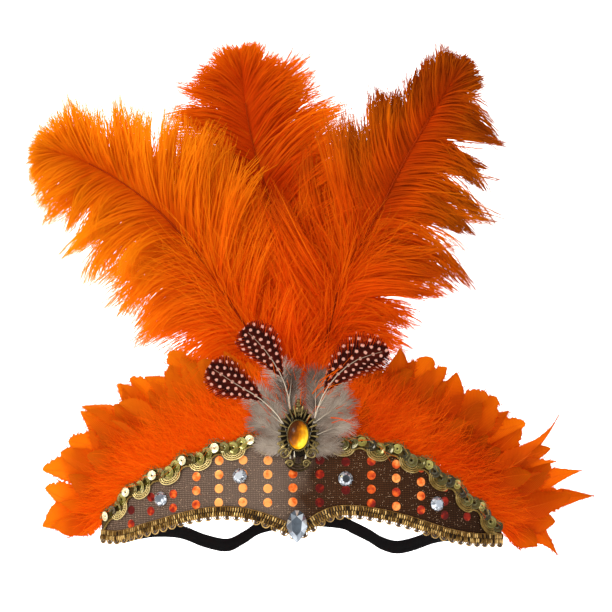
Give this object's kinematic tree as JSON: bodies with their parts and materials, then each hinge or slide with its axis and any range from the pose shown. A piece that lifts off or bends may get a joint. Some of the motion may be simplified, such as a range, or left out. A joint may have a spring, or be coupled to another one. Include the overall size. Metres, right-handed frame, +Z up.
{
  "type": "carnival headdress",
  "caption": "Feathered headdress: a jewelled cloth crescent for the forehead with gold braid, a brass ornament, ostrich plumes, feather fringes and an elastic strap.",
  "frame": {"origin": "middle of the head opening, level with the tips of the crescent", "axes": "+Z up, -Y the way the wearer looks, +X to the viewer's right"},
  "size_m": [0.3894, 0.1093, 0.3537],
  "materials": {
    "band_cloth": "dark brown glitter weave with glued foil dots",
    "gold_braid": "metallic gold gimp cord with sequins",
    "clear_stone": "clear, cut and foil-backed",
    "antique_brass": "antique cast, dark in the hollows",
    "amber_stone": "polished amber",
    "plume_feather": "soft ostrich barbs, deep orange",
    "fringe_feather": "smooth hackle feathers, bright orange",
    "spotted_feather": "dark vane with pale spots and grey down",
    "black_elastic": "flat woven elastic, matt"
  },
  "bodies": {
    "root": {"band": "band_cloth", "upper_braid": "gold_braid", "lower_braid": "gold_braid", "rhinestone_1": "clear_stone", "rhinestone_2": "clear_stone", "rhinestone_3": "clear_stone", "rhinestone_4": "clear_stone", "peak_gem": "clear_stone", "ornament": "antique_brass", "cabochon": "amber_stone", "plume_left": "plume_feather", "plume_center": "plume_feather", "plume_right": "plume_feather", "fringe_left": "fringe_feather", "fringe_right": "fringe_feather", "guinea_left_outer": "spotted_feather", "guinea_left_inner": "spotted_feather", "guinea_right": "spotted_feather", "elastic_strap": "black_elastic"}
  },
  "joints": []
}
